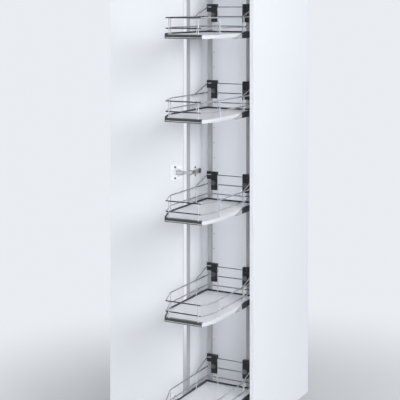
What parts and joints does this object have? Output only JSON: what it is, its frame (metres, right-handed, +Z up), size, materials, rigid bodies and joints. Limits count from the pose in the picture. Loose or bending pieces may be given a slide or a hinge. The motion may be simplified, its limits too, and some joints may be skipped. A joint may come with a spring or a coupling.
{
  "type": "pull out larder unit",
  "caption": "Tall narrow larder cabinet with a wide-angle hinged door and a pull-out frame that carries trays with chrome wire rails, drawn out with the door.",
  "frame": {"origin": "centre of the carcass's underside, on the top of its legs", "axes": "+Z up, -Y towards the front, +X to the right seen from the front; door open and trays drawn out"},
  "size_m": [0.5813, 0.871, 2.18],
  "materials": {
    "carcass_board": "white melamine, satin",
    "door_board": "white lacquer, satin inside and semi-gloss outside",
    "tray_board": "white coated board, satin",
    "wire": "polished chrome",
    "dark_trim": "dark grey, satin",
    "black_plastic": "black moulded plastic",
    "buffer_rubber": "clear soft dots",
    "frame_metal": "satin steel",
    "zinc_steel": "zinc-plated steel",
    "hinge_metal": "nickel-plated steel"
  },
  "bodies": {
    "carcass": {"left_side": "carcass_board", "right_side": "carcass_board", "bottom_panel": "carcass_board", "top_panel": "carcass_board", "back_panel": "carcass_board", "cam_locks": "hinge_metal", "leg_sockets": "black_plastic", "legs": "black_plastic", "wall_bracket": "zinc_steel", "hinge_plates": "hinge_metal", "plate_screws": "hinge_metal", "hinge_arms": "hinge_metal", "arm_cams": "hinge_metal", "floor_rail": "zinc_steel", "rail_screws": "hinge_metal", "ceiling_rail_channel": "zinc_steel"},
    "door": {"door_panel": "door_board", "hinge_cups": "hinge_metal", "cup_screws": "hinge_metal", "door_buffers": "buffer_rubber"},
    "inner_link_set": {"inner_links": "hinge_metal"},
    "outer_link_set": {"outer_links": "hinge_metal"},
    "rail_slide": {"floor_rail_slide": "zinc_steel"},
    "outer_cages": {"outer_ball_cages": "zinc_steel"},
    "inner_cages": {"inner_ball_cages": "zinc_steel"},
    "tray_frame": {"carrier_rail": "zinc_steel", "base_carrier": "frame_metal", "left_post": "frame_metal", "right_post": "frame_metal", "top_beam": "frame_metal", "guide_slider": "black_plastic", "tray_board_1": "tray_board", "tray_board_2": "tray_board", "tray_board_3": "tray_board", "tray_board_4": "tray_board", "tray_board_5": "tray_board", "front_trim_1": "dark_trim", "front_trim_2": "dark_trim", "front_trim_3": "dark_trim", "front_trim_4": "dark_trim", "front_trim_5": "dark_trim", "tray_rim_1": "dark_trim", "tray_rim_2": "dark_trim", "tray_rim_3": "dark_trim", "tray_rim_4": "dark_trim", "tray_rim_5": "dark_trim", "wire_rail_1": "wire", "wire_rail_2": "wire", "wire_rail_3": "wire", "wire_rail_4": "wire", "wire_rail_5": "wire", "tray_clamps_1": "dark_trim", "tray_clamps_2": "dark_trim", "tray_clamps_3": "dark_trim", "tray_clamps_4": "dark_trim", "tray_clamps_5": "dark_trim", "tray_brackets": "dark_trim", "clamp_screws": "hinge_metal"}
  },
  "joints": [
    {"name": "door_swing", "type": "hinge", "parent": "carcass", "child": "door", "pos_m": [-0.1535, -0.2914, 1.02], "axis": [0, 0, 1], "range_deg": [0, 155]},
    {"name": "frame_slide", "type": "slide", "parent": "carcass", "child": "tray_frame", "axis": [0, 1, 0], "range_m": [0, 0.37]},
    {"name": "rail_slide", "type": "slide", "parent": "carcass", "child": "rail_slide", "axis": [0, 1, 0], "range_m": [0, 0.185]},
    {"name": "outer_cage_slide", "type": "slide", "parent": "carcass", "child": "outer_cages", "axis": [0, 1, 0], "range_m": [0, 0.0925]},
    {"name": "inner_cage_slide", "type": "slide", "parent": "carcass", "child": "inner_cages", "axis": [0, 1, 0], "range_m": [0, 0.2775]},
    {"name": "inner_link_pivot", "type": "hinge", "parent": "carcass", "child": "inner_link_set", "pos_m": [-0.128, -0.28, 1.02], "axis": [0, 0, 1], "range_deg": [0, 146.84]},
    {"name": "outer_link_pivot", "type": "hinge", "parent": "door", "child": "outer_link_set", "pos_m": [-0.18019, -0.3087, 1.02], "axis": [0, 0, 1], "range_deg": [-121.41, 0]}
  ],
  "couplings": [
    {"joint": "frame_slide", "follows": "door_swing", "m_per_rad": 0.13677},
    {"joint": "rail_slide", "follows": "door_swing", "m_per_rad": 0.068385},
    {"joint": "outer_cage_slide", "follows": "door_swing", "m_per_rad": 0.034192},
    {"joint": "inner_cage_slide", "follows": "door_swing", "m_per_rad": 0.10258},
    {"joint": "inner_link_pivot", "follows": "door_swing", "ratio": 0.94734},
    {"joint": "outer_link_pivot", "follows": "door_swing", "ratio": -0.7833}
  ]
}
